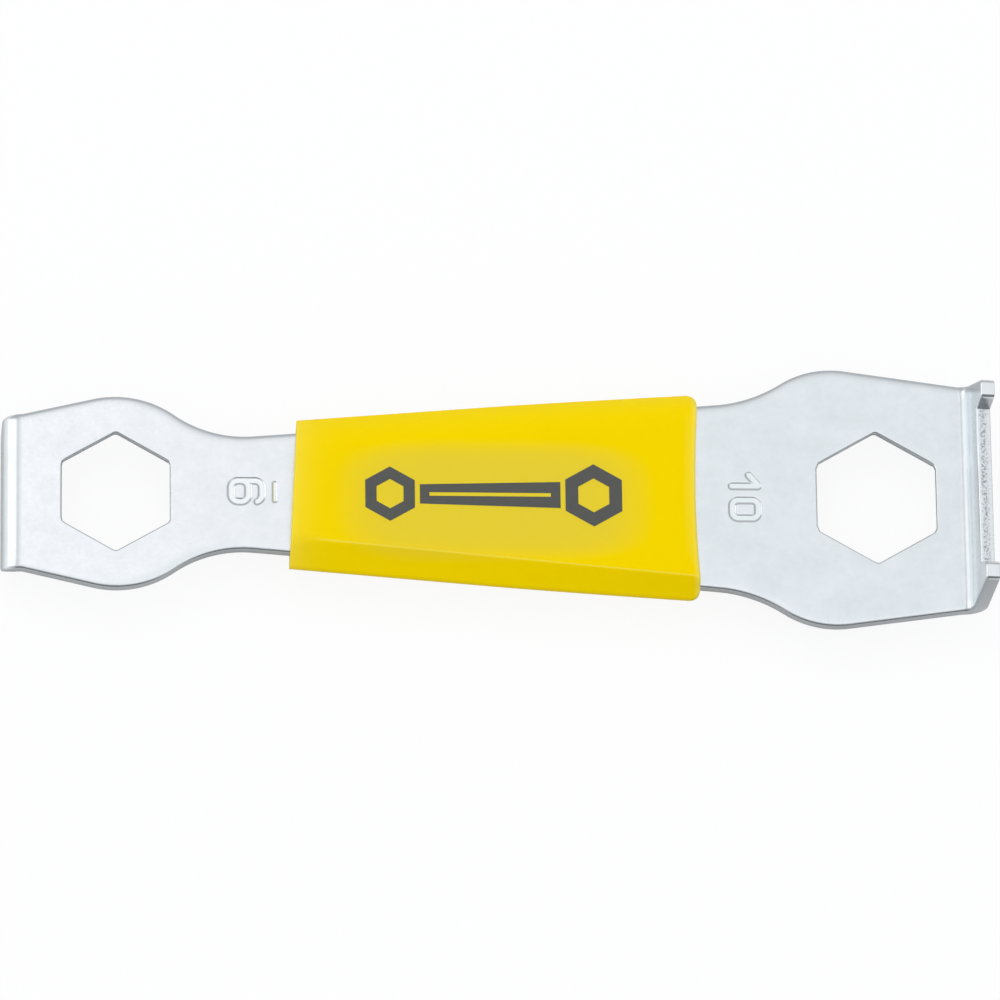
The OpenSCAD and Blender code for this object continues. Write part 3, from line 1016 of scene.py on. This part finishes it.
# Painted light and shade go into the colour here: the patch about the mark, and the sleeve's painted
# highlights.
for share, code in ((painted_shade_patch, "E5CE3E"), (painted_highlight_at, "FBE456")):
    vinyl_colour = add(vinyl_tree, "ShaderNodeMix", {"Factor": share, COLOUR_A: vinyl_colour},
                       {COLOUR_B: linear(code)}, data_type="RGBA").outputs[COLOUR_OUT]
skin_grain = add(vinyl_tree, "ShaderNodeTexNoise", {"Vector": vinyl_place},
                 {"Scale": 1 / (skin_size * MM), "Detail": 3.0}).outputs["Fac"]
vinyl_bump = add(vinyl_tree, "ShaderNodeBump", {"Height": skin_grain},
                 {"Strength": 0.1, "Distance": 0.02 * MM}).outputs[0]
vinyl_tree.links.new(vinyl_colour, vinyl.inputs["Base Color"])
vinyl_tree.links.new(vinyl_bump, vinyl.inputs["Normal"])
vinyl.inputs["Roughness"].default_value = 0.36
vinyl.inputs["IOR"].default_value = 1.53
vinyl.inputs["Specular IOR Level"].default_value = 0.08
vinyl.inputs["Specular Tint"].default_value = linear("FFDC30")
vinyl.inputs["Subsurface Weight"].default_value = 0.15
vinyl.inputs["Subsurface Radius"].default_value = (1.0, 0.7, 0.1)
vinyl.inputs["Subsurface Scale"].default_value = 0.5 * MM
print("yellow vinyl:", len(vinyl_tree.nodes), "nodes")

# %% [markdown]
# ### Printing ink
# The mark is a flat dark grey vinyl ink. It is thin, so the grain of the sleeve still shows in it. One
# plain grey would do from far off, but close to, the specks keep it from looking like a hole.

# %% Printing ink
ink_tree, ink = finish("dark_vinyl_ink", mark)
ink_place = add(ink_tree, "ShaderNodeTexCoord").outputs["Object"]
speck = add(ink_tree, "ShaderNodeTexNoise", {"Vector": ink_place},
            {"Scale": 1 / (skin_size * MM), "Detail": 3.0}).outputs["Fac"]
ink_colour = add(ink_tree, "ShaderNodeMix", {"Factor": speck},
                 {COLOUR_A: linear("4E4F4B"), COLOUR_B: linear("565752")},
                 data_type="RGBA").outputs[COLOUR_OUT]
ink_tree.links.new(ink_colour, ink.inputs["Base Color"])
ink.inputs["Roughness"].default_value = 0.5
ink.inputs["Specular IOR Level"].default_value = 0.3
print("printing ink:", len(ink_tree.nodes), "nodes")

# %% [markdown]
# ## Stage and light
# The wrench lies on a white table under a large soft light, as in a catalogue. Lamps alone could light it,
# but bright metal mostly shows what stands about it, so the table and the dome carry that pattern.
# The table shows white to the camera and keeps a faint soft shadow. In mirrors it is grey, with a painted
# shadow that darkens it in front of the wrench and a painted glow past both ends.

# %% Table
table_half = 1.5
camera_white = 0.97
painted_shadow_front = (-12 * MM, -17 * MM)
painted_shadow_greys = (0.62, 0.42)
table_mesh = bpy.data.meshes.new("table")
corners = [(-1, -1), (1, -1), (1, 1), (-1, 1)]
table_mesh.from_pydata([(a * table_half, b * table_half, 0) for a, b in corners], [], [(0, 1, 2, 3)])
table = bpy.data.objects.new("table", table_mesh)
bpy.context.scene.collection.objects.link(table)
table_tree, table_shader = finish("white_table", table)
table_shader.inputs["Roughness"].default_value = 0.9
table_shader.inputs["Specular IOR Level"].default_value = 0.0
table_ray = add(table_tree, "ShaderNodeLightPath").outputs
table_place = add(table_tree, "ShaderNodeTexCoord").outputs["Object"]
table_axes = add(table_tree, "ShaderNodeSeparateXYZ", {0: table_place}).outputs
# Painted shadow: the grey that mirrors and bounced light see is darker in front of the wrench.
grey = add(table_tree, "ShaderNodeMapRange", {"Value": table_axes["Y"]},
           {"From Min": painted_shadow_front[0], "From Max": painted_shadow_front[1],
            "To Min": painted_shadow_greys[0], "To Max": painted_shadow_greys[1]}).outputs[0]
table_colour = add(table_tree, "ShaderNodeMix", {"Factor": table_ray["Is Camera Ray"], COLOUR_A: grey},
                   {COLOUR_B: (camera_white, camera_white, camera_white, 1)},
                   data_type="RGBA").outputs[COLOUR_OUT]
table_tree.links.new(table_colour, table_shader.inputs["Base Color"])
print("table:", 2 * table_half, "m wide")

# %% Glow of the table
camera_glow = 0.9
mirror_painted_glow = 0.9
painted_glow_ends = (43.5 * MM, 48.5 * MM)
glow = add(table_tree, "ShaderNodeEmission", inputs={"Color": linear("FFFFFF"), "Strength": 1.0}).outputs[0]
in_mirror = add(table_tree, "ShaderNodeMath",
                {0: table_ray["Is Glossy Ray"], 1: table_ray["Is Transmission Ray"]},
                operation="MAXIMUM").outputs[0]
from_middle = add(table_tree, "ShaderNodeMath", {0: table_axes["X"]}, operation="ABSOLUTE").outputs[0]
# Painted light: in mirrors the table glows brighter past both ends of the wrench.
painted_glow_past_ends = add(table_tree, "ShaderNodeMapRange", {"Value": from_middle},
                {"From Min": painted_glow_ends[0], "From Max": painted_glow_ends[1], "To Max": mirror_painted_glow}).outputs[0]
mirror_share = add(table_tree, "ShaderNodeMath", {0: in_mirror, 1: painted_glow_past_ends},
                   operation="MULTIPLY").outputs[0]
glow_share = add(table_tree, "ShaderNodeMath", {0: table_ray["Is Camera Ray"], 2: mirror_share},
                 {1: camera_glow}, operation="MULTIPLY_ADD").outputs[0]
glowing = add(table_tree, "ShaderNodeMixShader", {0: glow_share, 1: table_shader.outputs[0], 2: glow})
table_tree.links.new(glowing.outputs[0], table_tree.nodes["Material Output"].inputs["Surface"])
print("table finish:", len(table_tree.nodes), "nodes")

# %% [markdown]
# ### The dome
# A picture of a studio could stand about the wrench, but a few steps of brightness say where each line on
# the metal comes from. The dome is bright overhead and on towards the viewer, then dark low on the viewer's
# side, less so far out to the left and right. That sudden step draws the crisp dark line along the near
# edge. Away from the viewer it falls off slowly, which gives the far edge its soft fade. Metal sees this
# pattern, the camera sees plain white, and dull surfaces get one plain level.

# %% Pattern of the dome
world = bpy.data.worlds.new("studio")
bpy.context.scene.world = world
world.use_nodes = True
sky = world.node_tree
sky.nodes.clear()
direction = add(sky, "ShaderNodeTexCoord").outputs["Generated"]
axes = add(sky, "ShaderNodeSeparateXYZ", {0: direction}).outputs
overhead = (0.1, 0.33, 0.94)
towards_viewer = (0.1, -0.05, 0.99)
near_overhead, near_viewer = (
    add(sky, "ShaderNodeVectorMath", {0: direction}, {1: spot}, operation="DOT_PRODUCT").outputs["Value"]
    for spot in (overhead, towards_viewer)
)
near_bright = add(sky, "ShaderNodeMath", {0: near_overhead, 1: near_viewer}, operation="MAXIMUM").outputs[0]
level = add(sky, "ShaderNodeMapRange", {"Value": near_bright},
            {"From Min": 0.8, "From Max": 0.975, "To Min": 0.66, "To Max": 1.025},
            interpolation_type="SMOOTHSTEP").outputs[0]
sideways = add(sky, "ShaderNodeMath", {0: axes["X"]}, operation="ABSOLUTE").outputs[0]
viewer_dark = add(sky, "ShaderNodeMapRange", {"Value": sideways},
                  {"From Min": 0.46, "From Max": 0.66, "To Min": 0.24, "To Max": 0.71}).outputs[0]
viewer_side = add(sky, "ShaderNodeMapRange", {"Value": axes["Y"], "To Max": viewer_dark},
                  {"From Min": -0.3, "From Max": -0.58, "To Min": 1.0},
                  interpolation_type="SMOOTHSTEP").outputs[0]
level = add(sky, "ShaderNodeMath", {0: level, 1: viewer_side}, operation="MULTIPLY").outputs[0]
for axis, start, end, share in (("Y", 0.33, 0.7, 0.8), ("X", 0.5, 0.95, 0.5), ("Y", -0.02, -0.2, 1.13)):
    side = add(sky, "ShaderNodeMapRange", {"Value": axes[axis]},
               {"From Min": start, "From Max": end, "To Min": 1.0, "To Max": share},
               interpolation_type="SMOOTHSTEP").outputs[0]
    level = add(sky, "ShaderNodeMath", {0: level, 1: side}, operation="MULTIPLY").outputs[0]
print("pattern of the dome:", len(sky.nodes), "nodes")

# %% Who sees the dome
dome_white = linear("FAFCFF")
dull_level = 0.88
dome_ray = add(sky, "ShaderNodeLightPath").outputs
seen_level = add(sky, "ShaderNodeMix", {"Factor": dome_ray["Is Camera Ray"], "A": level},
                 {"B": 1.0}).outputs[0]
pattern = add(sky, "ShaderNodeBackground", {"Strength": seen_level}, {"Color": dome_white}).outputs[0]
plain = add(sky, "ShaderNodeBackground", inputs={"Color": dome_white, "Strength": dull_level}).outputs[0]
seen = dome_ray["Is Camera Ray"]
for kind in ("Is Glossy Ray", "Is Transmission Ray"):
    seen = add(sky, "ShaderNodeMath", {0: seen, 1: dome_ray[kind]}, operation="MAXIMUM").outputs[0]
dome = add(sky, "ShaderNodeMixShader", {0: seen, 1: plain, 2: pattern}).outputs[0]
add(sky, "ShaderNodeOutputWorld", {"Surface": dome})
print("dome:", len(sky.nodes), "nodes")

# %% [markdown]
# ### Lamps
# Two soft panels show in the metal only and brighten the narrow end, as the dome alone would light both
# ends alike. A third lights the vinyl and the table from behind, and doesn't show in the metal.


# %% Lamps
def standing(right, up, back, place):
    """Matrix of something whose own x, y and z axes are right, up and back, and that stands at place."""
    return Matrix(np.vstack([np.column_stack([right, up, back, place]), [0, 0, 0, 1]]).tolist())


def soft_lamp(name, place, width, height, brightness, mirrored, tint="FFFFFF"):
    """An area lamp that faces the middle of the wrench; its power is pi times its area and brightness.
    It either shows in metal, or lights the dull surfaces only."""
    data = bpy.data.lights.new(name, "AREA")
    data.shape = "RECTANGLE"
    data.size = width
    data.size_y = height
    data.energy = math.pi * width * height * brightness
    data.color = linear(tint)[:3]
    lamp = bpy.data.objects.new(name, data)
    nearly_y = (0, 1, 0.01)
    back = np.array(place) / np.linalg.norm(place)
    right = np.cross(nearly_y, back)
    right /= np.linalg.norm(right)
    lamp.matrix_world = standing(right, np.cross(back, right), back, place)
    lamp.visible_glossy = mirrored
    lamp.visible_diffuse = not mirrored
    bpy.context.scene.collection.objects.link(lamp)
    print(name, "of", round(data.energy, 3), "W")


soft_lamp("overhead", place=(-0.043, 0.1, 0.3), width=0.062, height=0.3, brightness=0.3,
          mirrored=True, tint="FFE7EC")
soft_lamp("left_panel", place=(-0.4, 0.06, 0.21), width=0.44, height=0.4, brightness=0.76,
          mirrored=True, tint="F8FAFF")
soft_lamp("back_fill", place=(-0.1, 0.35, 0.5), width=0.5, height=0.5, brightness=0.9, mirrored=False)

# %% [markdown]
# ## Camera
# The camera is far off with a long lens, tipped about 18 degrees towards the viewer's side, turned 4
# degrees along the wrench and rolled by less than one. It could be pointed with a Track To constraint, but
# those angles came from matching both hexagons and the edges, so they are set as they are.

# %% Camera
tilt = math.radians(18.4)
yaw = math.radians(-4.03)
camera_roll = math.radians(0.783)
distance = 777.5
frame_width = 83.92
aim = np.array([0, 0, top_z])
aim_shift = (-0.22, 0.49)
sensor = 36


def spin(angle, first, second):
    """Turns one axis towards another: the cosine on both, and the sine across with opposite signs."""
    turned = np.eye(3)
    turned[[first, second], [first, second]] = math.cos(angle)
    turned[first, second] = math.sin(angle)
    turned[second, first] = -math.sin(angle)
    return turned


right, up, back = spin(camera_roll, 1, 0) @ spin(tilt, 1, 2) @ spin(yaw, 2, 0)
stand = aim + distance * back - aim_shift[0] * right - aim_shift[1] * up
camera_data = bpy.data.cameras.new("camera")
camera_data.sensor_width = sensor
camera_data.lens = sensor * distance / frame_width
camera_data.clip_start = 0.01
camera_data.clip_end = 20
camera = bpy.data.objects.new("camera", camera_data)
camera.matrix_world = standing(right, up, back, stand * MM)
bpy.context.scene.collection.objects.link(camera)
bpy.context.scene.camera = camera
bpy.context.scene.view_settings.view_transform = "Standard"
print("lens", round(camera_data.lens, 1), "mm at", round(distance * MM, 3), "m")
